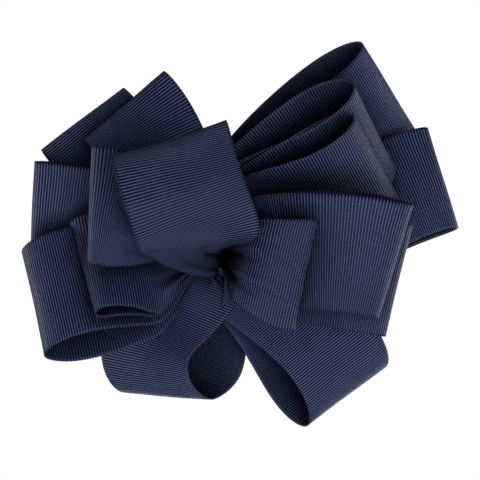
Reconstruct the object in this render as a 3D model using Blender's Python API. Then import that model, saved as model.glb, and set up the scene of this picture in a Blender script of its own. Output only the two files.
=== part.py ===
"""Cheer hair bow of navy grosgrain on an alligator hair clip, at rest with the clip closed.

Lengths below are in millimetres and angles in degrees. The origin is the middle of the clip's
rear flat face, +X is right as seen from the front, +Z is up, and the front of the bow faces -Y.
Positions under "driving dimensions" move everything that depends on them.
"""

import math
from collections import namedtuple

import bmesh
import bpy
import numpy as np
from mathutils import Matrix, Vector

MM = 0.001

# ---- driving dimensions ----

# The clip, from its rear face (Y = 0) forward.
STEEL = 0.7  # sheet thickness
CLEARANCE = 0.3  # gap between pieces that touch
RUNNING_CLEARANCE = 0.1  # round the pin, in its holes
ARM_WIDTH = 9.0
HAIR_GAP = 4.5  # between the jaw's flat and the grip strip
GRIP_THICKNESS = 0.8
LINING_THICKNESS = 0.4
FELT_THICKNESS = 1.2
THREAD_DIAMETER = 0.7

# The ribbons.
RIBBON_WIDTH = 38.1  # 1.5 inch grosgrain
RIBBON_THICKNESS = 0.5
LAYER_PITCH = 0.8  # between two layers where they are bound together
PINCH_WIDTH = 8.0  # width of the gathered ribbon under the binding
NECK_HALF = 2.0  # straight run through the binding, each side of the middle
END_GAP = 0.5  # half the gap between a ribbon's two ends, behind its middle
SEGMENTS_ALONG = 22  # faces along one loop
SEGMENTS_ACROSS = 3
NECK_HOLD = 2.0  # length beyond the binding that stays fully gathered
TURN_RADIUS = 4.5  # of the gathered ribbon's turn out of the binding
TURN_STEPS = 12
LEAVE_SHARE = 0.3  # how far a loop keeps its direction out of the binding, of its reach
ARRIVE_SHARE = 0.4  # and its direction into the fold
LINE_STEPS = 120
BEND_COST = 8.0  # millimetres of spacing that a turn of one radian takes up
FORWARD = np.array([0.0, -1.0, 0.0])

TIP_X = 25.0  # the clip's two ends
THUMB_X = -27.0
FLAT_HALF = 10.0  # half the length of the jaw's flat rear face
THUMB_RISE = 8.0  # how far back the thumb lever stands from the flat
PIN_X = -12.0
PIN_RADIUS = 0.8
PIN_HEAD_RADIUS = 1.5
PIN_HEAD = 0.6
EAR_RADIUS = 2.4
EAR_HALF_WIDTH = 3.0
TEETH = 6
TOOTH_PITCH = 1.6
TOOTH_DEPTH = 0.8
WIRE_RADIUS = 0.4
COIL_RADIUS = 1.6
COIL_TURNS = 4
COIL_PITCH = 1.0
GRIP_START = 1.0
GRIP_HALF_WIDTH = 3.5
LINING_WIDTH = 10.0  # 10 mm grosgrain
LINING_START = -20.0
FELT_HALF_LENGTH = 12.5
FELT_HALF_HEIGHT = 8.5
THREAD_TURNS = 3
THREAD_PITCH = 1.0
THREAD_CORNER = 0.8

GRIP_REAR = -STEEL - HAIR_GAP
ARM_REAR = GRIP_REAR - GRIP_THICKNESS - CLEARANCE
ARM_FRONT = ARM_REAR - STEEL
LINING_REAR = ARM_FRONT - CLEARANCE
FELT_REAR = LINING_REAR - LINING_THICKNESS - CLEARANCE
PIN_Y = (ARM_REAR - STEEL) / 2
NOSE_Y = GRIP_REAR + CLEARANCE  # front face of the jaw at its tip
THREAD_REAR = FELT_REAR - FELT_THICKNESS - CLEARANCE
STACK_REAR = THREAD_REAR - THREAD_DIAMETER - CLEARANCE - RIBBON_THICKNESS / 2

# One loop: the middle of its outer fold (x, y, z), the way the ribbon runs out of the binding
# (leave) and into that fold (heading), both from +X towards +Z, how far the loop is rolled
# about that heading (tilt, positive brings the side to the right of the heading forward), half
# the widest gap between its two layers (puff), where along the loop that gap lies (bulge,
# larger is nearer the fold), the length over which the gathered ribbon opens to its full width
# (neck) and how early it comes forward or goes back to its own depth (lift).
Loop = namedtuple("Loop", "x y z leave heading tilt puff bulge neck lift")

# The eight lengths of ribbon, from the back of the bow to the front. Each is folded into a
# loop on the left and a loop on the right, which cross in the binding.
RIBBONS = (
    (
        "ribbon_1_rear",
        Loop(-18, -2.5, -49, 252, 270, -38, 9.4, 2.6, 26, 3.5),
        Loop(59, -2, 57, 75, 35, -30, 6, 3, 27, 3.5),
    ),
    (
        "ribbon_2",
        Loop(-44, -1.5, 46, 118, 130, -21, 3, 3.4, 37, 5.5),
        Loop(45, -5.5, -48, -42, 300, 27, 7.4, 2.9, 21, 2.5),
    ),
    (
        "ribbon_3",
        Loop(-30, -7, 51, 137, 126, -15, 3, 3, 34, 3.5),
        Loop(78, -10, 27, -9, 14, 13, 3, 3, 28, 2.5),
    ),
    (
        "ribbon_4",
        Loop(-60, -14, 12, 168, 177, 14, 3, 3, 27, 2.5),
        Loop(55, -26, 43, 68, 29, -26, 4.9, 2.5, 26, 3),
    ),
    (
        "ribbon_5",
        Loop(-60, -29.5, -16, 204, 195, -22, 6.5, 3, 24, 2.5),
        Loop(55, -33.5, 33, 44, 32, -27, 4, 2.7, 26, 4.5),
    ),
    (
        "ribbon_6",
        Loop(-43, -34.5, -4, 201, 199, -22, 3, 2.9, 22, 3),
        Loop(62, -38.5, -8, -9, 347, -7, 4, 2.6, 30, 5.5),
    ),
    (
        "ribbon_7",
        Loop(-41, -45, 17, 171, 178, 3, 3.4, 3, 34, 5),
        Loop(60, -51, -1, 2, 342, -9, 5.2, 2.4, 28, 7),
    ),
    (
        "ribbon_8_front",
        Loop(-15, -67, 39, 168, 108, 0, 8.4, 1.8, 18, 9),
        Loop(33, -62, -7, -4, 348, 0, 3.4, 2.4, 36, 8),
    ),
)


def smooth(value):
    """Eases from 0 to 1 with no slope at either end."""
    value = np.clip(value, 0.0, 1.0)
    return value * value * (3 - 2 * value)


def polar(degrees):
    """The unit vector in the X-Z plane at this angle from +X towards +Z."""
    turn = math.radians(degrees)
    return np.array([math.cos(turn), 0.0, math.sin(turn)])


def unit(vectors):
    return vectors / np.linalg.norm(vectors, axis=-1, keepdims=True)


def follow(share, known, values):
    """Reads rows of values, given at the shares in known, at other shares."""
    return np.stack([np.interp(share, known, column) for column in values.T], axis=1)


def middle_line(loop, side, layer_y):
    """A loop's middle line from the binding to its fold: points, directions across the ribbon,
    directions out of its front face, and the length so far. side is -1 on the left, 1 on the
    right."""
    bound = 0.0 if side > 0 else 180.0
    turn = loop.leave - bound
    stride = TURN_RADIUS * math.radians(abs(turn)) / TURN_STEPS
    strides = [polar(bound + turn * (n + 0.5) / TURN_STEPS) * stride for n in range(TURN_STEPS)]
    root = np.array([side * NECK_HALF, 0.0, 0.0])
    turning = root + np.vstack([np.zeros(3), np.cumsum(strides, axis=0)])
    free, fold = turning[-1], np.array([loop.x, 0.0, loop.z])
    reach = np.linalg.norm(fold - free)
    leave = free + polar(loop.leave) * reach * LEAVE_SHARE
    arrive = fold - polar(loop.heading) * reach * ARRIVE_SHARE
    u = np.linspace(0, 1, LINE_STEPS + 1)
    curve = (
        np.outer((1 - u) ** 3, free)
        + np.outer(3 * u * (1 - u) ** 2, leave)
        + np.outer(3 * u**2 * (1 - u), arrive)
        + np.outer(u**3, fold)
    )
    points = np.vstack([turning[:-1], curve])
    share = np.concatenate([np.zeros(TURN_STEPS), u])
    points[:, 1] = layer_y + (loop.y - layer_y) * (
        1 - (1 - share) ** loop.lift * (1 + loop.lift * share)
    )
    length = travelled(points)
    along = unit(np.gradient(points, length, axis=0))
    right_hand = unit(np.column_stack([along[:, 2], np.zeros(len(along)), -along[:, 0]]))
    tilt = math.radians(loop.tilt) * smooth(share * 1.3)[:, None]
    across = right_hand * np.cos(tilt) + FORWARD * np.sin(tilt)
    across = unit(across - along * (across * along).sum(axis=1, keepdims=True))
    return points, across, np.cross(across, along), length


def travelled(points):
    steps = np.linalg.norm(np.diff(points, axis=0), axis=1)
    return np.concatenate([[0.0], np.cumsum(steps)])


def loop_rows(loop, side, layer_y):
    """Rows of the loop from the front layer's root, round the fold, to the rear layer's root:
    middle points, directions across and widths."""
    points, across, front, length = middle_line(loop, side, layer_y)
    u = np.linspace(-1, 1, 2 * LINE_STEPS + 1)
    share = 1 - u * u
    reached = share * length[-1]
    points, across, front = (follow(reached, length, row) for row in (points, across, front))
    widest = 1 / (1 + 2 * loop.bulge)
    peak = math.sqrt(widest) * (1 - widest) ** loop.bulge
    gap = -u * (LAYER_PITCH / 2 + loop.puff / peak * share**loop.bulge)
    points = points + front * gap[:, None]
    run = travelled(points)
    from_root = np.minimum(run, run[-1] - run)
    opened = smooth((from_root - NECK_HOLD) / loop.neck)
    width = PINCH_WIDTH + (RIBBON_WIDTH - PINCH_WIDTH) * opened
    steps = unit(np.diff(points, axis=0))
    bends = np.linalg.norm(np.diff(steps, axis=0), axis=1)
    cost = run + np.concatenate([[0.0, 0.0], np.cumsum(bends) * BEND_COST])
    wanted = np.linspace(0, cost[-1], SEGMENTS_ALONG + 1)
    return follow(wanted, cost, np.column_stack([points, across, width]))


def ribbon_rows(left, right, order):
    """Rows of a whole ribbon, from the end behind the middle, round the left loop, through the
    binding and round the right loop to its other end."""
    layer_y = STACK_REAR - (2 * order + 0.5) * LAYER_PITCH
    half = LAYER_PITCH / 2
    first = [-END_GAP, layer_y + half, 0, 0, 0, 1, PINCH_WIDTH]
    middle = [0, layer_y - half, 0, 0, 0, 1, PINCH_WIDTH]
    last = [END_GAP, layer_y + half, 0, 0, 0, 1, PINCH_WIDTH]
    left_rows = loop_rows(left, -1, layer_y)[::-1]
    right_rows = loop_rows(right, 1, layer_y)
    right_rows[:, 3:6] *= -1
    return np.vstack([first, left_rows, middle, right_rows, last])


def material(name, colour, roughness, metallic=0.0):
    made = bpy.data.materials.new(name)
    made.use_nodes = True
    shader = made.node_tree.nodes["Principled BSDF"]
    shader.inputs["Base Color"].default_value = (*colour, 1.0)
    shader.inputs["Roughness"].default_value = roughness
    shader.inputs["Metallic"].default_value = metallic
    return made


def add_object(name, mesh, look, smooth_angle=None):
    """Puts the mesh in the scene as one named object with its own material."""
    thing = bpy.data.objects.new(name, mesh)
    bpy.context.scene.collection.objects.link(thing)
    mesh.materials.append(look)
    if smooth_angle is not None:
        mesh.shade_smooth()
        mesh.set_sharp_from_angle(angle=math.radians(smooth_angle))
    return thing


def make_ribbon(name, left, right, order):
    """One length of grosgrain: a strip of faces, given its thickness by a modifier."""
    shape = bmesh.new()
    grid = []
    for values in ribbon_rows(left, right, order):
        point, across, width = values[:3], values[3:6], values[6]
        row = []
        for column in range(SEGMENTS_ACROSS + 1):
            offset = (column / SEGMENTS_ACROSS - 0.5) * width
            row.append(shape.verts.new((point + across * offset) * MM))
        grid.append(row)
    for row, following in zip(grid, grid[1:]):
        for column in range(SEGMENTS_ACROSS):
            shape.faces.new(
                (row[column], row[column + 1], following[column + 1], following[column])
            )
    mesh = bpy.data.meshes.new(name)
    shape.to_mesh(mesh)
    shape.free()
    look = material(name, (0.012, 0.018, 0.05), 0.75)
    ribbon = add_object(name, mesh, look, 50)
    thickness = ribbon.modifiers.new("thickness", "SOLIDIFY")
    thickness.thickness = RIBBON_THICKNESS * MM
    thickness.offset = 0
    return ribbon


def extruded(outline, low, high, flat_to="z"):
    """A mesh of a closed outline run between two heights. The outline is (x, y) and runs along
    Z, or with flat_to "y" it is (x, z) and runs along Y."""
    shape = bmesh.new()
    ends = []
    for height in (low, high):
        if flat_to == "z":
            points = [(x, y, height) for x, y in outline]
        else:
            points = [(x, height, z) for x, z in outline]
        ends.append([shape.verts.new(np.array(point) * MM) for point in points])
        shape.faces.new(ends[-1])
    for index in range(len(outline)):
        after = (index + 1) % len(outline)
        shape.faces.new((ends[0][index], ends[0][after], ends[1][after], ends[1][index]))
    bmesh.ops.recalc_face_normals(shape, faces=shape.faces)
    return finished(shape)


def finished(shape):
    mesh = bpy.data.meshes.new("shape")
    shape.to_mesh(mesh)
    shape.free()
    return mesh


def turned(profile, sides=24):
    """A mesh turned about the Z axis from (radius, z) points, its two ends closed."""
    shape = bmesh.new()
    rings = []
    for radius, height in profile:
        angles = [2 * math.pi * n / sides for n in range(sides)]
        ring = [(radius * math.cos(a), radius * math.sin(a), height) for a in angles]
        rings.append([shape.verts.new(np.array(point) * MM) for point in ring])
    for ring, following in zip(rings, rings[1:]):
        for n in range(sides):
            after = (n + 1) % sides
            shape.faces.new((ring[n], ring[after], following[after], following[n]))
    shape.faces.new(rings[0])
    shape.faces.new(rings[-1])
    bmesh.ops.recalc_face_normals(shape, faces=shape.faces)
    return finished(shape)


def band(route, thickness):
    """The closed outline of a bent strip: the route, then the same points one thickness behind
    it, mitred at each bend."""
    route = [np.array(point, dtype=float) for point in route]
    behind = []
    for index, point in enumerate(route):
        ways = [unit(b - a) for a, b in zip(route[index - 1 : index + 1], route[index : index + 2])]
        if index == 0:
            ways = [unit(route[1] - point)]
        normals = [np.array([-way[1], way[0]]) for way in ways]
        mitre = unit(sum(normals))
        behind.append(point + mitre * thickness / mitre.dot(normals[0]))
    return route + behind[::-1]


def rounded_ends(start, end, half_width, radius, steps=5):
    """The (x, z) outline of a strip along X whose corners are rounded."""
    corners = (
        (end - radius, half_width - radius, 0),
        (start + radius, half_width - radius, 90),
        (start + radius, radius - half_width, 180),
        (end - radius, radius - half_width, 270),
    )
    outline = []
    for x, z, begin in corners:
        for step in range(steps + 1):
            angle = math.radians(begin + 90 * step / steps)
            outline.append((x + radius * math.cos(angle), z + radius * math.sin(angle)))
    return outline


def oval(half_length, half_height, sides=40):
    angles = [2 * math.pi * n / sides for n in range(sides)]
    return [(half_length * math.cos(a), half_height * math.sin(a)) for a in angles]


def helper(name, mesh):
    """An object that only shapes another one."""
    thing = bpy.data.objects.new(name, mesh)
    bpy.context.scene.collection.objects.link(thing)
    thing.hide_render = True
    thing.display_type = "WIRE"
    return thing


def combine(thing, other, operation):
    step = thing.modifiers.new(other.name, "BOOLEAN")
    step.operation = operation
    step.object = other


def ear_outline(plate_y, away):
    """A tab on a clip arm that carries the pin, from inside the plate out round the pin. away
    is 1 where it stands back from the plate and -1 where it stands forward."""
    angles = [math.radians(30 * step) for step in range(7)]
    tip = [
        (PIN_X + EAR_RADIUS * math.cos(a), PIN_Y + away * EAR_RADIUS * math.sin(a)) for a in angles
    ]
    return [(PIN_X + EAR_HALF_WIDTH, plate_y), *tip, (PIN_X - EAR_HALF_WIDTH, plate_y)]


def add_ears(arm, plate_y, away, outer_z):
    """Gives a clip arm its two ears, with their outer faces outer_z from the middle, and the
    pin's hole through both."""
    for side in (-1, 1):
        low, high = sorted((side * outer_z, side * (outer_z - STEEL)))
        combine(arm, helper("ear", extruded(ear_outline(plate_y, away), low, high)), "UNION")
    bore = PIN_RADIUS + RUNNING_CLEARANCE
    hole = helper("pin_hole", turned([(bore, -ARM_WIDTH), (bore, ARM_WIDTH)]))
    hole.location = (PIN_X * MM, PIN_Y * MM, 0)
    combine(arm, hole, "DIFFERENCE")


def make_top_arm(steel):
    """The flat arm on the bow's side of the clip."""
    outline = rounded_ends(THUMB_X, TIP_X, ARM_WIDTH / 2, 2.0)
    arm = add_object("clip_top_arm", extruded(outline, ARM_FRONT, ARM_REAR, "y"), steel, 30)
    add_ears(arm, ARM_REAR - STEEL / 2, 1, ARM_WIDTH / 2)


def make_jaw(steel):
    """The arm that opens: thumb lever, flat back, sloped nose and teeth along both edges."""
    front = [(THUMB_X, THUMB_RISE - STEEL), (-FLAT_HALF, -STEEL), (FLAT_HALF, -STEEL), (TIP_X, NOSE_Y)]
    half = ARM_WIDTH / 2
    jaw = add_object("clip_jaw", extruded(band(front, STEEL), -half, half), steel, 30)
    plan = rounded_ends(THUMB_X, TIP_X, half, 2.0)
    combine(jaw, helper("jaw_plan", extruded(plan, ARM_FRONT, 2 * THUMB_RISE, "y")), "INTERSECT")
    slope = (NOSE_Y + STEEL) / (TIP_X - FLAT_HALF)
    end = TIP_X - 2.0
    start = end - TEETH * TOOTH_PITCH
    tip_y = ARM_REAR + CLEARANCE
    teeth = [(x, -STEEL / 2 + slope * (x - FLAT_HALF)) for x in (end, start)]
    for tooth in range(TEETH):
        teeth.append((start + tooth * TOOTH_PITCH, tip_y + TOOTH_DEPTH))
        teeth.append((start + (tooth + 0.5) * TOOTH_PITCH, tip_y))
    teeth.append((end, tip_y + TOOTH_DEPTH))
    for side in (-1, 1):
        low, high = sorted((side * half, side * (half - STEEL)))
        combine(jaw, helper("tooth_row", extruded(teeth, low, high)), "UNION")
    add_ears(jaw, -STEEL / 2, -1, half - STEEL - CLEARANCE)
    set_origin(jaw, (PIN_X, PIN_Y, 0))


def set_origin(thing, place):
    """Moves an object's origin to the place, and its own and its helpers' shapes stay put."""
    shift = np.array(place) * MM
    thing.data.transform(Matrix.Translation(-Vector(shift)))
    thing.location = shift


def make_pin(steel):
    """The rivet through the four ears, headed at both ends."""
    inner = ARM_WIDTH / 2 + CLEARANCE
    outer = inner + PIN_HEAD
    half = [(PIN_HEAD_RADIUS * 0.7, outer), (PIN_HEAD_RADIUS, outer - PIN_HEAD / 2)]
    half += [(PIN_HEAD_RADIUS, inner), (PIN_RADIUS, inner)]
    profile = half + [(radius, -height) for radius, height in half[::-1]]
    pin = add_object("clip_pivot_pin", turned(profile), steel, 30)
    pin.location = (PIN_X * MM, PIN_Y * MM, 0)


def tube(name, points, radius, look, resolution=2):
    """A round wire or thread through these points."""
    curve = bpy.data.curves.new(name, "CURVE")
    curve.dimensions = "3D"
    curve.bevel_depth = radius * MM
    curve.bevel_resolution = resolution
    curve.use_fill_caps = True
    line = curve.splines.new("POLY")
    line.points.add(len(points) - 1)
    for place, point in zip(line.points, points):
        place.co = (*(np.array(point) * MM), 1.0)
    thing = bpy.data.objects.new(name, curve)
    bpy.context.scene.collection.objects.link(thing)
    curve.materials.append(look)
    return thing


def make_spring(steel):
    """A torsion spring round the pin. One leg lies along the top arm and the other along the
    thumb lever, and it pushes them apart."""
    lever = unit(np.array([THUMB_X + FLAT_HALF, THUMB_RISE]))
    leg_end = THUMB_X + 6.0
    arm_leg_y = ARM_REAR + CLEARANCE + WIRE_RADIUS
    run = (leg_end + FLAT_HALF) / lever[0]
    lever_leg = np.array([-FLAT_HALF, -STEEL]) + lever * run
    lever_leg += np.array([lever[1], -lever[0]]) * -(CLEARANCE + WIRE_RADIUS)
    half = COIL_TURNS * COIL_PITCH / 2
    points = [(leg_end, arm_leg_y, -half)]
    steps = 12 * COIL_TURNS
    for step in range(steps + 1):
        share = step / steps
        angle = math.radians(270 + 360 * (COIL_TURNS - 0.5) * share)
        x = PIN_X + COIL_RADIUS * math.cos(angle)
        y = PIN_Y + COIL_RADIUS * math.sin(angle)
        points.append((x, y, half * (2 * share - 1)))
    points.append((lever_leg[0], lever_leg[1], half))
    tube("clip_spring", points, WIRE_RADIUS, steel)


def make_binding(look):
    """The waxed thread wound round the gathered middle of all eight ribbons."""
    front = STACK_REAR - (2 * len(RIBBONS) - 1) * LAYER_PITCH - RIBBON_THICKNESS / 2
    radius = THREAD_DIAMETER / 2
    near = front - CLEARANCE - radius
    far = THREAD_REAR - radius
    top = PINCH_WIDTH / 2 + CLEARANCE + radius
    bend = THREAD_CORNER
    corners = ((far - bend, top - bend), (near + bend, top - bend))
    corners += tuple((y, -z) for y, z in corners[::-1])
    ring = []
    for index, (y, z) in enumerate(corners):
        for step in range(4):
            angle = math.radians(90 * index + 30 * step)
            ring.append((y + bend * math.cos(angle), z + bend * math.sin(angle)))
    points = []
    count = THREAD_TURNS * len(ring)
    for step in range(count):
        y, z = ring[step % len(ring)]
        points.append((THREAD_PITCH * (step / len(ring) - THREAD_TURNS / 2), y, z))
    tube("binding_thread", points, radius, look)


def make_flat_layers(dark, rubber, felt):
    """The grip strip inside the clip, and the lining and felt between the clip and the bow."""
    strip = rounded_ends(GRIP_START, TIP_X - 1.0, GRIP_HALF_WIDTH, 1.0)
    grip = extruded(strip, GRIP_REAR - GRIP_THICKNESS, GRIP_REAR, "y")
    add_object("clip_grip_strip", grip, rubber)
    strip = rounded_ends(LINING_START, TIP_X - 0.5, LINING_WIDTH / 2, 0.5)
    lining = extruded(strip, LINING_REAR - LINING_THICKNESS, LINING_REAR, "y")
    add_object("clip_lining", lining, dark)
    pad = extruded(oval(FELT_HALF_LENGTH, FELT_HALF_HEIGHT), FELT_REAR - FELT_THICKNESS, FELT_REAR, "y")
    add_object("felt_backing", pad, felt)


def clear_scene():
    for thing in list(bpy.data.objects):
        bpy.data.objects.remove(thing)


def build():
    clear_scene()
    for order, (name, left, right) in enumerate(RIBBONS):
        make_ribbon(name, left, right, order)
    steel = material("clip_steel", (0.62, 0.62, 0.6), 0.3, 1.0)
    make_top_arm(steel)
    make_jaw(steel)
    make_pin(steel)
    make_spring(material("spring_steel", (0.45, 0.45, 0.46), 0.35, 1.0))
    make_binding(material("waxed_thread", (0.015, 0.02, 0.05), 0.6))
    make_flat_layers(
        material("lining_ribbon", (0.012, 0.018, 0.05), 0.75),
        material("grip_rubber", (0.03, 0.03, 0.03), 0.8),
        material("navy_felt", (0.012, 0.016, 0.04), 0.95),
    )


build()
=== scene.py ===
import math
from collections import namedtuple

import bpy
import numpy as np
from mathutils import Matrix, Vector


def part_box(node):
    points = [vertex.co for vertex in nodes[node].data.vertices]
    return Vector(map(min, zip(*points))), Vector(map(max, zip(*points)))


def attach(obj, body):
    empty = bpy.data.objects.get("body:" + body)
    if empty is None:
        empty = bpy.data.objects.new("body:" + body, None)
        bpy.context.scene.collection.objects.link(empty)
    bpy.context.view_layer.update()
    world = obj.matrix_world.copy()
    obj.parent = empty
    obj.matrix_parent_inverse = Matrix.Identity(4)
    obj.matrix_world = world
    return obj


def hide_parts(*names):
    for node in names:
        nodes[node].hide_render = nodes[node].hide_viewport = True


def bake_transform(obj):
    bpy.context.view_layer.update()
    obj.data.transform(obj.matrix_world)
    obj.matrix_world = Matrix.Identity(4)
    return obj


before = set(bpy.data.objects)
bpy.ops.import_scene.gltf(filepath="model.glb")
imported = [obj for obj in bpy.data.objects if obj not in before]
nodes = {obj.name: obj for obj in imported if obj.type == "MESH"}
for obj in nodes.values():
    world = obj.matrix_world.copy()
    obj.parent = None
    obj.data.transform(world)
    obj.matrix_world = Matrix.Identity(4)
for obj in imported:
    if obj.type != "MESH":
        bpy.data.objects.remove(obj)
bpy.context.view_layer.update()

# Lengths are in millimetres and angles in degrees until a mesh is made. The front of the bow
# faces -Y and the origin is the middle of the clip's rear face.
MM = 0.001
FORWARD = np.array([0.0, -1.0, 0.0])

RIBBON_WIDTH = 38.1
RIBBON_THICKNESS = 0.45
LINING_WIDTH = 10.0
LINING_THICKNESS = 0.3

# The bound stack and the loops that leave it.
LAYER_PITCH = 0.8  # from one layer of ribbon to the next
STACK_REAR = -10.75  # Y of the rearmost layer
PINCH_WIDTH = 8.0  # a ribbon's width where it is bound
NECK_HALF = 2.0  # from the middle to where a loop starts to turn
NECK_HOLD = 2.0  # how far from its root a loop stays pinched
TURN_RADIUS = 4.5
LEAVE_SHARE = 0.3  # the handles of a loop's curve, as shares of its reach
ARRIVE_SHARE = 0.4
ROLL_RATE = 1.3  # a loop is fully rolled at 1 / ROLL_RATE of the way to its fold
SLIDE_SCALE = 6.75  # makes share**2 * (1 - share) peak at 1
STATION_PLEAT = 0.5  # the gathers of a loop given as stations

# Gathers near the binding, as waves across the ribbon, and slow swells along its open part.
GATHER_FADE = 0.8
GATHER_START = 1.0
GATHER_RISE = 7
GATHER_WAVES = (3.2, 6.1)
GATHER_DRIFT = 0.06
FINE_SHARE = 0.5
SWELL_HEIGHT = 0.35
SWELL_LENGTHS = (13, 31)
SWELL_SKEWS = (1.3, 0.9)

# Fineness of the meshes.
TURN_STEPS = 12
LINE_STEPS = 240
ROWS = 190
COLUMNS = 36

# The ribbon's look.
RIB_PITCH = 0.88
RIB_SHARPNESS = 2.1
SELVEDGE = 0.9  # width of the plain edge beside the ribs
# Painted shade: creases and recesses near other folds are darkened in the ribbon's colour.
PAINTED_SHADE_REACH = 0.022  # metres: how near other folds darken a surface
PAINTED_SHADE_STRENGTH = 2.1
# The ribbon's colour runs from DARK, painted shade for its grooves and creases, to LIGHT, the navy
# of its rib crests.
DARK = (0.0006, 0.001, 0.0035)
LIGHT = (0.092, 0.122, 0.275)
# Painted light and shade: the eight ribbons share one dye, painted lightest at the rear and darker
# towards the front for how the light falls on them. TONE_SPREAD adds a small random tone.
REAR_PAINTED_LIGHTNESS = 1.25  # how light the rear ribbon is
PAINTED_SHADE_STEP = 0.065  # how much darker each ribbon in front of it is
TONE_SPREAD = 0.05

LIGHT_AIM = (0.01, -0.03, 0.0)  # metres

# One loop of ribbon: its fold (x, y, z), its directions out of the binding (leave) and into
# the fold (heading), its roll (tilt), half its widest gap (puff) and where along it that lies
# (bulge), how soon it opens (neck) and comes forward (lift), how far its two layers slide
# apart sideways (slide), and how deep its gathers are (pleat).
Loop = namedtuple("Loop", "x y z leave heading tilt puff bulge neck lift slide pleat")
# A loop given as stations round it instead, from its front root to its rear root: the middle
# of the ribbon (x, y, z), the angle of its width from +X towards +Z, how far the width's
# right-hand end comes forward (degrees), and the width.
DRUM = (
    (-2, -22.8, 0, 90, 0, 8),
    (2.4, -30, -1, 72, 0, 12),
    (-1.5, -46, 0, 32, -4, 19),
    (-3.2, -62, 1.8, 9, -9, 29),
    (-3.2, -71.5, 5.2, 4, -13, 38.1),
    (-5, -78, 11.5, 5, -14, 38.1),
    (-8.3, -80, 22, 11, -14, 38.1),
    (-11.5, -76, 32, 16, -14, 38.1),
    (-13, -69, 36.5, 18.5, -14, 38.1),
    (-12.5, -62, 33, 16, -12, 38.1),
    (-11, -57, 24, 11, -10, 38.1),
    (-8, -48, 12, 10, -6, 34),
    (-5, -36, 4, 35, 0, 20),
    (-2, -22, 0, 90, 0, 8),
)
RIBBONS = (
    (
        "ribbon_1_rear",
        Loop(-16, -2.5, -49, 254, 269, -34, 8.8, 1.6, 13, 3.5, 5.5, 1.2),
        Loop(60.7, -2, 59.4, 75, 35.4, -26, 8, 2.4, 27, 3.5, 1.5, 1.2),
    ),
    (
        "ribbon_2",
        Loop(-46, -1.5, 48, 118, 130, -21, 2, 3.4, 30, 5.5, 0, 1.2),
        Loop(46, -5.5, -49, -24, 304, 27, 7.4, 2.6, 12, 2.5, -2, 1.2),
    ),
    (
        "ribbon_3",
        Loop(-31, -7, 52, 126, 132, -15, 2, 3, 14, 3.5, 0, 1.2),
        Loop(79, -10, 27, -9, 14, 18, 3, 3, 28, 2.5, 0, 1.2),
    ),
    (
        "ribbon_4",
        Loop(-62, -14, 13.5, 168, 177, 8, 3, 3, 27, 2.5, 0, 1.2),
        Loop(54, -26, 43.8, 68, 30, -36, 8, 2.2, 26, 3, 2, 1.2),
    ),
    (
        "ribbon_5",
        Loop(-60, -29.5, -16, 204, 195, -22, 6.5, 2.4, 24, 2.5, 2.5, 1.2),
        Loop(54.2, -33.5, 33.4, 44, 32, -37, 6, 2.2, 26, 4.5, 1, 1.2),
    ),
    (
        "ribbon_6",
        Loop(-43, -34.5, -4, 201, 199, -34, 3, 2.9, 22, 3, 0, 1.2),
        Loop(61.5, -38.5, -8, -9, 347, -7, 4, 2.6, 30, 5.5, 0, 1.2),
    ),
    (
        "ribbon_7",
        Loop(-40, -45, 17, 145, 177, 3, 3.4, 3, 44, 5, 0, 1.2),
        Loop(59.5, -51, -1.5, 2, 343, -9, 5.2, 2.4, 28, 7, 0, 1.2),
    ),
    (
        "ribbon_8_front",
        DRUM,
        Loop(30, -60, -6, -4, 348, -10, 3.4, 2.4, 62, 8, 0, 1.2),
    ),
)


# ---- ribbon shapes ----


def smooth(value):
    value = np.clip(value, 0.0, 1.0)
    return value * value * (3 - 2 * value)


def polar(degrees):
    turn = math.radians(degrees)
    return np.array([math.cos(turn), 0.0, math.sin(turn)])


def unit(vectors):
    return vectors / np.linalg.norm(vectors, axis=-1, keepdims=True)


def follow(share, known, values):
    return np.stack([np.interp(share, known, column) for column in values.T], axis=1)


def travelled(points):
    steps = np.linalg.norm(np.diff(points, axis=0), axis=1)
    return np.concatenate([[0.0], np.cumsum(steps)])


def middle_line(loop, side, layer_y):
    """A loop's middle line from the binding to its fold, with directions across and forward."""
    bound = 0.0 if side > 0 else 180.0
    turn = loop.leave - bound
    stride = TURN_RADIUS * math.radians(abs(turn)) / TURN_STEPS
    strides = [polar(bound + turn * (n + 0.5) / TURN_STEPS) * stride for n in range(TURN_STEPS)]
    root = np.array([side * NECK_HALF, 0.0, 0.0])
    turning = root + np.vstack([np.zeros(3), np.cumsum(strides, axis=0)])
    free, fold = turning[-1], np.array([loop.x, 0.0, loop.z])
    reach = np.linalg.norm(fold - free)
    leave = free + polar(loop.leave) * reach * LEAVE_SHARE
    arrive = fold - polar(loop.heading) * reach * ARRIVE_SHARE
    u = np.linspace(0, 1, LINE_STEPS + 1)
    curve = (
        np.outer((1 - u) ** 3, free)
        + np.outer(3 * u * (1 - u) ** 2, leave)
        + np.outer(3 * u**2 * (1 - u), arrive)
        + np.outer(u**3, fold)
    )
    points = np.vstack([turning[:-1], curve])
    share = np.concatenate([np.zeros(TURN_STEPS), u])
    points[:, 1] = layer_y + (loop.y - layer_y) * (
        1 - (1 - share) ** loop.lift * (1 + loop.lift * share)
    )
    length = travelled(points)
    along = unit(np.gradient(points, length, axis=0))
    right_hand = unit(np.column_stack([along[:, 2], np.zeros(len(along)), -along[:, 0]]))
    tilt = math.radians(loop.tilt) * smooth(share * ROLL_RATE)[:, None]
    across = right_hand * np.cos(tilt) + FORWARD * np.sin(tilt)
    across = unit(across - along * (across * along).sum(axis=1, keepdims=True))
    return points, across, np.cross(across, along), length


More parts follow.
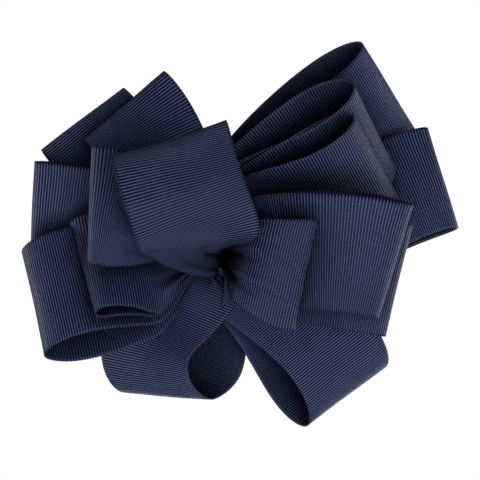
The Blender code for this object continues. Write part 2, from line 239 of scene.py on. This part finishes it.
def through(stations, count):
    """A smooth run of rows through the stations."""
    table = np.array(stations, dtype=float)
    known = travelled(table[:, :3])
    slopes = np.gradient(table, known, axis=0)
    wanted = np.linspace(0, known[-1], count)
    index = np.clip(np.searchsorted(known, wanted, side="right") - 1, 0, len(known) - 2)
    span = (known[index + 1] - known[index])[:, None]
    t = (wanted[:, None] - known[index][:, None]) / span
    return (
        table[index] * (2 * t**3 - 3 * t**2 + 1)
        + table[index + 1] * (3 * t**2 - 2 * t**3)
        + slopes[index] * (t**3 - 2 * t**2 + t) * span
        + slopes[index + 1] * (t**3 - t**2) * span
    )


def station_rows(stations):
    """Rows round a loop given as stations, with the same columns as loop_rows."""
    rows = through(stations, ROWS // 2)
    points = rows[:, :3]
    turn, tilt = np.radians(rows[:, 3:5].T)
    across = np.column_stack([
        np.cos(turn) * np.cos(tilt), -np.sin(tilt), np.sin(turn) * np.cos(tilt)
    ])
    along = unit(np.gradient(points, axis=0))
    across = unit(across - along * (across * along).sum(axis=1, keepdims=True))
    run = travelled(points)
    from_root = np.minimum(run, run[-1] - run)
    opened = np.clip((rows[:, 5] - PINCH_WIDTH) / (RIBBON_WIDTH - PINCH_WIDTH), 0, 1)
    pleat = np.full(len(points), STATION_PLEAT)
    return np.column_stack([points, across, opened, from_root, pleat])


def loop_rows(loop, side, layer_y):
    """Rows round one loop: middle points, directions across, how far open, how far along it
    from its own root, and how deep its gathers are."""
    if not isinstance(loop, Loop):
        return station_rows(loop)
    points, across, front, length = middle_line(loop, side, layer_y)
    u = np.linspace(-1, 1, 2 * LINE_STEPS + 1)
    share = 1 - u * u
    reached = share * length[-1]
    points, across, front = (follow(reached, length, row) for row in (points, across, front))
    widest = 1 / (1 + 2 * loop.bulge)
    peak = math.sqrt(widest) * (1 - widest) ** loop.bulge
    gap = -u * (LAYER_PITCH / 2 + loop.puff / peak * share**loop.bulge)
    points = points + front * gap[:, None]
    slid = np.sign(-u) * loop.slide * share**2 * (1 - share) * SLIDE_SCALE
    points = points + across * slid[:, None]
    run = travelled(points)
    from_root = np.minimum(run, run[-1] - run)
    opened = smooth((from_root - NECK_HOLD) / loop.neck)
    extra = np.column_stack([opened, from_root, np.full(len(u), loop.pleat)])
    wanted = np.linspace(0, run[-1], ROWS // 2)
    return follow(wanted, run, np.column_stack([points, across, extra]))


def ribbon_grid(left, right, order, random):
    """Points of a whole ribbon, row by row, with each row's distance along it."""
    layer_y = STACK_REAR - (2 * order + 0.5) * LAYER_PITCH
    half = LAYER_PITCH / 2
    ends = np.array([
        [-0.5, layer_y + half, 0, 0, 0, 1, 0, 0, 0],
        [0, layer_y - half, 0, 0, 0, 1, 0, 0, 0],
        [0.5, layer_y + half, 0, 0, 0, 1, 0, 0, 0],
    ], dtype=float)
    left_rows = loop_rows(left, -1, layer_y)[::-1]
    right_rows = loop_rows(right, 1, layer_y)
    right_rows[:, 3:6] *= -1
    rows = np.vstack([ends[:1], left_rows, ends[1:2], right_rows, ends[2:]])
    points, across = rows[:, :3], rows[:, 3:6]
    opened, from_root, pleat = rows[:, 6:].T
    along = unit(np.gradient(points, axis=0))
    normal = unit(np.cross(across, along))
    run = travelled(points)
    width = PINCH_WIDTH + (RIBBON_WIDTH - PINCH_WIDTH) * opened
    v = np.linspace(-1, 1, COLUMNS + 1)[None, :]
    root_column, run_column = from_root[:, None], run[:, None]
    phases = random.uniform(0, 2 * math.pi, 6)
    depth = pleat * (1 - opened) ** GATHER_FADE * smooth((from_root - GATHER_START) / GATHER_RISE)
    waves = np.sin(GATHER_WAVES[0] * math.pi * v + phases[0] + GATHER_DRIFT * root_column)
    waves = waves + FINE_SHARE * np.sin(GATHER_WAVES[1] * math.pi * v + phases[1])
    lift = depth[:, None] * waves
    swell = np.sin(run_column / SWELL_LENGTHS[0] + SWELL_SKEWS[0] * v + phases[2])
    swell = swell * np.sin(run_column / SWELL_LENGTHS[1] + SWELL_SKEWS[1] * v + phases[3])
    lift = lift + SWELL_HEIGHT * opened[:, None] * swell
    grid = (
        points[:, None, :]
        + across[:, None, :] * (v[:, :, None] * width[:, None, None] / 2)
        + normal[:, None, :] * lift[:, :, None]
    )
    return grid, run


def mesh_object(name, points, faces):
    mesh = bpy.data.meshes.new(name)
    mesh.from_pydata((np.asarray(points) * MM).tolist(), [], [tuple(face) for face in faces])
    mesh.shade_smooth()
    thing = bpy.data.objects.new(name, mesh)
    bpy.context.scene.collection.objects.link(thing)
    return thing


def sheet_mesh(name, grid, run, width):
    """A grid of points as a mesh, with its length and width in millimetres as its UVs."""
    rows, columns = grid.shape[:2]
    index = np.arange(rows * columns).reshape(rows, columns)
    faces = np.stack([index[:-1, :-1], index[:-1, 1:], index[1:, 1:], index[1:, :-1]], axis=-1)
    faces = faces.reshape(-1, 4)
    thing = mesh_object(name, grid.reshape(-1, 3), faces.tolist())
    across = np.linspace(-width / 2, width / 2, columns)
    uv = np.stack(np.broadcast_arrays(run[:, None], across[None, :]), axis=-1).reshape(-1, 2)
    layer = thing.data.uv_layers.new(name="length_width")
    layer.data.foreach_set("uv", uv[faces.reshape(-1)].astype(np.float32).reshape(-1))
    return thing


def tube_mesh(name, points, radius, strands=0, twist=0.0, sides=16):
    """A round wire, or a twisted thread of this many strands, closed at both ends."""
    points = np.array(points, dtype=float)
    run = travelled(points)
    even = np.linspace(0, run[-1], int(run[-1] / (radius * 0.6)) + 2)
    points = follow(even, run, points)
    along = unit(np.gradient(points, axis=0))
    side = np.cross(along[0], [0.31, 0.52, 0.79])  # any direction the wire doesn't start along
    turn = np.linspace(0, 2 * math.pi, sides, endpoint=False)
    rings = []
    for place, way, distance in zip(points, along, even):
        side = unit(side - way * side.dot(way))
        up = np.cross(way, side)
        groove = 0.22 * np.abs(np.sin(strands * (turn + twist * distance) / 2)) if strands else 0.0
        reach = radius * (1 - groove)
        ring = np.outer(np.cos(turn) * reach, side) + np.outer(np.sin(turn) * reach, up)
        rings.append(place + ring)
    count = len(rings)
    faces = [list(range(sides))[::-1], [(count - 1) * sides + n for n in range(sides)]]
    for ring in range(count - 1):
        for n in range(sides):
            a, b = ring * sides + n, ring * sides + (n + 1) % sides
            faces.append((a, b, b + sides, a + sides))
    return mesh_object(name, np.vstack(rings), faces)


def box_mm(node):
    return (np.array(corner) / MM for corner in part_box(node))


def make_felt(random):
    """An oval pad with soft cut edges and a slightly uneven surface."""
    low, high = box_mm("felt_backing")
    middle, half = (low + high) / 2, (high - low) / 2
    sides = 96
    turn = np.linspace(0, 2 * math.pi, sides, endpoint=False)
    wander = sum(np.sin(turn * waves + random.uniform(0, 6)) for waves in (3, 7, 12, 19)) * 0.004
    profile = [(share, 1.0) for share in (0.25, 0.5, 0.75, 0.9, 0.96)]
    profile += [(0.99, 0.75), (1.0, 0.3), (1.0, -0.3), (0.99, -0.75)]
    profile += [(share, -1.0) for share in (0.96, 0.9, 0.75, 0.5, 0.25)]
    points = [(middle[0], low[1] + 0.05, middle[2])]
    for share, depth in profile:
        rough = random.uniform(-0.06, 0.0, sides)
        reach = share * (1 + wander - 0.02) + (rough * 0.1 if abs(depth) < 0.9 else 0)
        points += list(zip(
            middle[0] + half[0] * np.cos(turn) * reach,
            middle[1] - (half[1] + rough) * depth,
            middle[2] + half[2] * np.sin(turn) * reach,
        ))
    points.append((middle[0], high[1] - 0.05, middle[2]))
    last = len(points) - 1
    faces = [(0, 1 + (n + 1) % sides, 1 + n) for n in range(sides)]
    for ring in range(len(profile) - 1):
        start = 1 + ring * sides
        for n in range(sides):
            m = (n + 1) % sides
            faces.append((start + n, start + m, start + sides + m, start + sides + n))
    start = last - sides
    faces += [(last, start + n, start + (n + 1) % sides) for n in range(sides)]
    return mesh_object("felt_backing_look", points, faces)


def make_lining():
    """A length of narrow ribbon glued flat along the clip, with a faint lift between its ribs."""
    low, high = box_mm("clip_lining")
    run = np.linspace(0, high[0] - low[0], 120)
    across = np.linspace(-LINING_WIDTH / 2, LINING_WIDTH / 2, 13)
    y = (low[1] + high[1]) / 2 + 0.04 * np.sin(run[:, None] / 5 + across[None, :] / 3)
    x, z = np.broadcast_arrays(low[0] + run[:, None], across[None, :])
    grid = np.stack([x, y, z], axis=-1)
    piece = thicken(sheet_mesh("clip_lining_look", grid, run, LINING_WIDTH), LINING_THICKNESS)
    return piece


def make_thread():
    """Three turns of waxed thread round the gathered middle."""
    radius, corner = 0.35, 0.8
    low, high = box_mm("binding_thread")
    near, far = low[1] + radius + corner, high[1] - radius - corner
    top = high[2] - radius - corner
    ring = []
    for index, (y, z) in enumerate(((far, top), (near, top), (near, -top), (far, -top))):
        for step in range(9):
            turn = math.radians(90 * index + 90 * step / 8)
            ring.append((y + corner * math.cos(turn), z + corner * math.sin(turn)))
    count = 3 * len(ring)
    points = [(step / len(ring) - 1.5, *ring[step % len(ring)]) for step in range(count)]
    return tube_mesh("binding_thread_look", points, radius * 0.95, strands=3, twist=1.6, sides=18)


def make_spring():
    """A torsion spring: one leg on the top arm, a coil round the pin, one leg on the lever."""
    radius, coil, turns, half = 0.4, 1.6, 3.5, 2.0
    pin_x, pin_y, steps = -12, -3.5, 150
    points = [(-21.0, -5.6, -half)]
    for step in range(steps + 1):
        turn = math.radians(270 + 360 * turns * step / steps)
        x, y = pin_x + coil * math.cos(turn), pin_y + coil * math.sin(turn)
        points.append((x, y, half * (2 * step / steps - 1)))
    points.append((-21.3, 3.84, half))
    return tube_mesh("clip_spring_look", points, radius, sides=20)


def thicken(thing, thickness):
    solid = thing.modifiers.new("thickness", "SOLIDIFY")
    solid.thickness = thickness * MM
    solid.offset = 0
    return thing


# ---- materials ----


def nodes_of(name):
    look = bpy.data.materials.new(name)
    look.use_nodes = True
    tree = look.node_tree
    return look, tree, tree.nodes["Principled BSDF"]


def add(tree, kind, **settings):
    node = tree.nodes.new(kind)
    for key, value in settings.items():
        setattr(node, key, value)
    return node


def wire(tree, source, target):
    """source is a socket or a number."""
    if isinstance(source, bpy.types.NodeSocket):
        tree.links.new(source, target)
    else:
        target.default_value = source


def maths(tree, operation, *values, clamp=False):
    node = add(tree, "ShaderNodeMath", operation=operation, use_clamp=clamp)
    for socket, value in zip(node.inputs, values):
        wire(tree, value, socket)
    return node.outputs[0]


def blend_colours(tree, share, first, second):
    node = add(tree, "ShaderNodeMix", data_type="RGBA")
    wire(tree, share, node.inputs[0])
    for socket, value in ((node.inputs[6], first), (node.inputs[7], second)):
        wire(tree, value if isinstance(value, bpy.types.NodeSocket) else (*value, 1.0), socket)
    return node.outputs[2]


def noise(tree, vector, scale, detail=2.0, roughness=0.5):
    node = add(tree, "ShaderNodeTexNoise")
    if vector is not None:
        tree.links.new(vector, node.inputs["Vector"])
    node.inputs["Scale"].default_value = scale
    node.inputs["Detail"].default_value = detail
    node.inputs["Roughness"].default_value = roughness
    return node.outputs["Fac"]


def scaled(tree, vector, factors):
    node = add(tree, "ShaderNodeVectorMath", operation="MULTIPLY")
    tree.links.new(vector, node.inputs[0])
    node.inputs[1].default_value = factors
    return node.outputs[0]


def roughen(tree, shader, height, strength, distance, normal=None):
    """Bumps of this depth in metres, over another normal where one is given."""
    bump = add(tree, "ShaderNodeBump")
    bump.inputs["Strength"].default_value = strength
    bump.inputs["Distance"].default_value = distance
    tree.links.new(height, bump.inputs["Height"])
    if normal is not None:
        tree.links.new(normal, bump.inputs["Normal"])
    tree.links.new(bump.outputs[0], shader.inputs["Normal"])


def grosgrain(name, seed, dark, light, rib_pitch=RIB_PITCH, half_width=RIBBON_WIDTH / 2):
    """Ribbed ribbon: ribs run across it, rounded, with narrow grooves between them painted dark as
    shade, crest flecks painted lighter as glints, and painted shade near other folds.
    """
    look, tree, shader = nodes_of(name)
    uv = add(tree, "ShaderNodeTexCoord").outputs["UV"]
    parts = add(tree, "ShaderNodeSeparateXYZ")
    tree.links.new(uv, parts.inputs[0])
    shifted = add(tree, "ShaderNodeVectorMath", operation="ADD")
    tree.links.new(uv, shifted.inputs[0])
    shifted.inputs[1].default_value = (seed * 17.0, seed * 5.0, 0.0)
    place = shifted.outputs[0]
    sway = maths(tree, "SUBTRACT", noise(tree, place, 0.05, 1.0), 0.5)
    sway = maths(tree, "MULTIPLY", sway, 0.9)
    length = maths(tree, "ADD", parts.outputs[0], sway)
    rib = maths(tree, "SINE", maths(tree, "MULTIPLY", length, 2 * math.pi / rib_pitch))
    rib = maths(tree, "MULTIPLY_ADD", rib, 0.5, 0.5, clamp=True)
    rib = maths(tree, "POWER", rib, RIB_SHARPNESS)
    yarn_fleck_and_glint = noise(tree, scaled(tree, place, (1.2, 3.2, 1.0)), 1.0, 3.0, 0.65)
    broad = noise(tree, place, 0.07, 2.0)
    edge = maths(tree, "ABSOLUTE", parts.outputs[1])
    selvedge = maths(tree, "GREATER_THAN", edge, half_width - SELVEDGE)
    # Painted highlight: the flecks brighten the rib crests as glints, on top of their own yarn
    # variation.
    lit = maths(tree, "MULTIPLY", rib, maths(tree, "MULTIPLY_ADD", yarn_fleck_and_glint, 1.1, 0.4))
    lit = maths(tree, "MULTIPLY", lit, maths(tree, "MULTIPLY_ADD", broad, 0.5, 0.75))
    lit = maths(tree, "SUBTRACT", lit, maths(tree, "MULTIPLY", selvedge, 0.12), clamp=True)
    # Painted shade: an occlusion node darkens the colour in creases and near other folds.
    painted_crease_shade = add(tree, "ShaderNodeAmbientOcclusion", samples=8)
    painted_crease_shade.inputs["Distance"].default_value = PAINTED_SHADE_REACH
    shade = maths(tree, "POWER", painted_crease_shade.outputs["AO"], PAINTED_SHADE_STRENGTH)
    lit = maths(tree, "MULTIPLY", lit, shade)
    wire(tree, blend_colours(tree, lit, dark, light), shader.inputs["Base Color"])
    height = maths(tree, "ADD", rib, maths(tree, "MULTIPLY", yarn_fleck_and_glint, 0.35))
    height = maths(tree, "MULTIPLY", height, maths(tree, "MULTIPLY_ADD", selvedge, -0.5, 1.0))
    roughen(tree, shader, height, 1.0, 0.0003)
    wire(tree, maths(tree, "MULTIPLY_ADD", yarn_fleck_and_glint, 0.2, 0.32), shader.inputs["Roughness"])
    shader.inputs["Specular IOR Level"].default_value = 0.16
    shader.inputs["Specular Tint"].default_value = (0.5, 0.65, 1.0, 1.0)
    return look


def fibrous(name, dark, light, scale, strength):
    """Felt or thread: matted fibres with fine shadows between them."""
    look, tree, shader = nodes_of(name)
    place = add(tree, "ShaderNodeTexCoord").outputs["Object"]
    fine = noise(tree, place, scale, 5.0, 0.7)
    coarse = noise(tree, place, scale * 0.12, 2.0)
    matted = maths(tree, "MULTIPLY_ADD", fine, 1.6, -0.3, clamp=True)
    lit = maths(tree, "MULTIPLY", matted, maths(tree, "ADD", coarse, 0.4), clamp=True)
    wire(tree, blend_colours(tree, lit, dark, light), shader.inputs["Base Color"])
    roughen(tree, shader, fine, strength, 0.0002)
    shader.inputs["Roughness"].default_value = 0.9
    shader.inputs["Sheen Weight"].default_value = 0.35
    shader.inputs["Specular IOR Level"].default_value = 0.2
    return look


def plated_steel(name, colour, grain_scale):
    """Sheet or wire steel: a drawn grain, faint smudges and brighter worn edges."""
    look, tree, shader = nodes_of(name)
    place = add(tree, "ShaderNodeTexCoord").outputs["Object"]
    grain = noise(tree, scaled(tree, place, grain_scale), 900.0, 4.0, 0.6)
    smudge = noise(tree, place, 160.0, 3.0)
    rounded = add(tree, "ShaderNodeBevel")
    rounded.inputs["Radius"].default_value = 0.0003
    flat = add(tree, "ShaderNodeNewGeometry").outputs["Normal"]
    turn = add(tree, "ShaderNodeVectorMath", operation="DOT_PRODUCT")
    tree.links.new(rounded.outputs[0], turn.inputs[0])
    tree.links.new(flat, turn.inputs[1])
    worn = maths(tree, "SUBTRACT", 1.0, turn.outputs["Value"])
    worn = maths(tree, "MULTIPLY", worn, 5.0, clamp=True)
    shade = blend_colours(tree, smudge, tuple(part * 0.75 for part in colour), colour)
    wire(tree, blend_colours(tree, worn, shade, (0.6, 0.585, 0.56)), shader.inputs["Base Color"])
    shader.inputs["Metallic"].default_value = 1.0
    rough = maths(tree, "MULTIPLY_ADD", grain, 0.2, 0.3)
    rough = maths(tree, "ADD", rough, maths(tree, "MULTIPLY", smudge, 0.12))
    wire(tree, rough, shader.inputs["Roughness"])
    roughen(tree, shader, grain, 0.25, 0.00003, rounded.outputs[0])
    return look


def wear(thing, look):
    thing.data.materials.clear()
    thing.data.materials.append(look)


# ---- the bow ----

for order, (name, left, right) in enumerate(RIBBONS):
    random = np.random.default_rng(40 + order)
    grid, run = ribbon_grid(left, right, order, random)
    piece = thicken(sheet_mesh(name + "_look", grid, run, RIBBON_WIDTH), RIBBON_THICKNESS)
    # Each ribbon's colour: the shared dye with painted light and shade graded by its place in the
    # stack, plus a small random tone.
    tone_and_painted_shade = REAR_PAINTED_LIGHTNESS - PAINTED_SHADE_STEP * order + random.uniform(-TONE_SPREAD, TONE_SPREAD)
    colour_with_painted_shade = tuple(part * tone_and_painted_shade for part in LIGHT)
    wear(piece, grosgrain(name + "_grosgrain", order + 1, DARK, colour_with_painted_shade))
    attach(piece, "bow")
    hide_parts(name)

steel = plated_steel("nickel_plate", (0.42, 0.415, 0.4), (0.05, 1.0, 1.0))
for name in ("clip_top_arm", "clip_jaw", "clip_pivot_pin"):
    wear(nodes[name], steel)
rubber = fibrous("grip_rubber", (0.012, 0.012, 0.013), (0.04, 0.04, 0.042), 1500.0, 0.3)
wear(nodes["clip_grip_strip"], rubber)

spring = make_spring()
wear(spring, plated_steel("spring_wire", (0.5, 0.5, 0.5), (0.3, 1.0, 1.0)))
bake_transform(spring)
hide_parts("clip_spring")

felt = make_felt(np.random.default_rng(7))
wear(felt, fibrous("navy_felt", (0.004, 0.006, 0.014), (0.05, 0.06, 0.11), 1800.0, 1.0))
lining = make_lining()
wear(lining, grosgrain("lining_grosgrain", 11, DARK, LIGHT, half_width=LINING_WIDTH / 2))
thread = make_thread()
wear(thread, fibrous("waxed_thread", (0.0006, 0.001, 0.003), (0.008, 0.01, 0.022), 2200.0, 0.7))
for piece, node, slot in (
    (felt, "felt_backing", "felt"),
    (lining, "clip_lining", "lining"),
    (thread, "binding_thread", "thread"),
):
    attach(piece, "bow")
    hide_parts(node)

# ---- stage, lights and camera ----

bpy.ops.mesh.primitive_cylinder_add(
    vertices=96, radius=0.15, depth=0.004, location=(0.009, 0, -0.127)
)
floor = bpy.context.object
floor.name = "floor"
pale, tree, shader = nodes_of("pale_floor")
mottled = blend_colours(tree, noise(tree, None, 6.0), (0.82, 0.82, 0.81), (0.88, 0.88, 0.87))
wire(tree, mottled, shader.inputs["Base Color"])
shader.inputs["Roughness"].default_value = 0.8
wear(floor, pale)

scene = bpy.context.scene
scene.view_settings.view_transform = "Standard"
world = bpy.data.worlds.new("studio")
scene.world = world
world.use_nodes = True
tree = world.node_tree
tree.nodes.clear()
# The camera sees a full white, and the bow is lit by only a little of it.
seen = add(tree, "ShaderNodeLightPath").outputs["Is Camera Ray"]
strength = maths(tree, "MULTIPLY_ADD", seen, 0.96, 0.04)
ground = add(tree, "ShaderNodeBackground")
ground.inputs["Color"].default_value = (1.0, 1.0, 1.0, 1.0)
tree.links.new(strength, ground.inputs["Strength"])
out = add(tree, "ShaderNodeOutputWorld")
tree.links.new(ground.outputs[0], out.inputs[0])


def area_light(name, place, size, power):
    lamp = bpy.data.lights.new(name, "AREA")
    lamp.size = size
    lamp.energy = power
    thing = bpy.data.objects.new(name, lamp)
    bpy.context.scene.collection.objects.link(thing)
    way = Vector(LIGHT_AIM) - Vector(place)
    thing.location = place
    thing.rotation_euler = way.to_track_quat("-Z", "Y").to_euler()


area_light("key", (0.14, -0.95, -0.24), 0.7, 13.0)
area_light("left", (-0.8, 0.35, 0.0), 0.6, 3.5)
area_light("right", (0.8, 0.35, 0.0), 0.6, 3.5)
area_light("above", (0.0, 0.1, 1.0), 1.0, 1.6)
area_light("rear", (0.15, 0.9, -0.3), 1.2, 8.0)

lens = bpy.data.cameras.new("photo")
lens.sensor_width = 36.0
lens.lens = 133.5
eye = bpy.data.objects.new("photo", lens)
eye.location = (0.0091, -0.625, 0.0054)
eye.rotation_euler = (math.pi / 2, 0.0, 0.0)
scene.collection.objects.link(eye)
scene.camera = eye
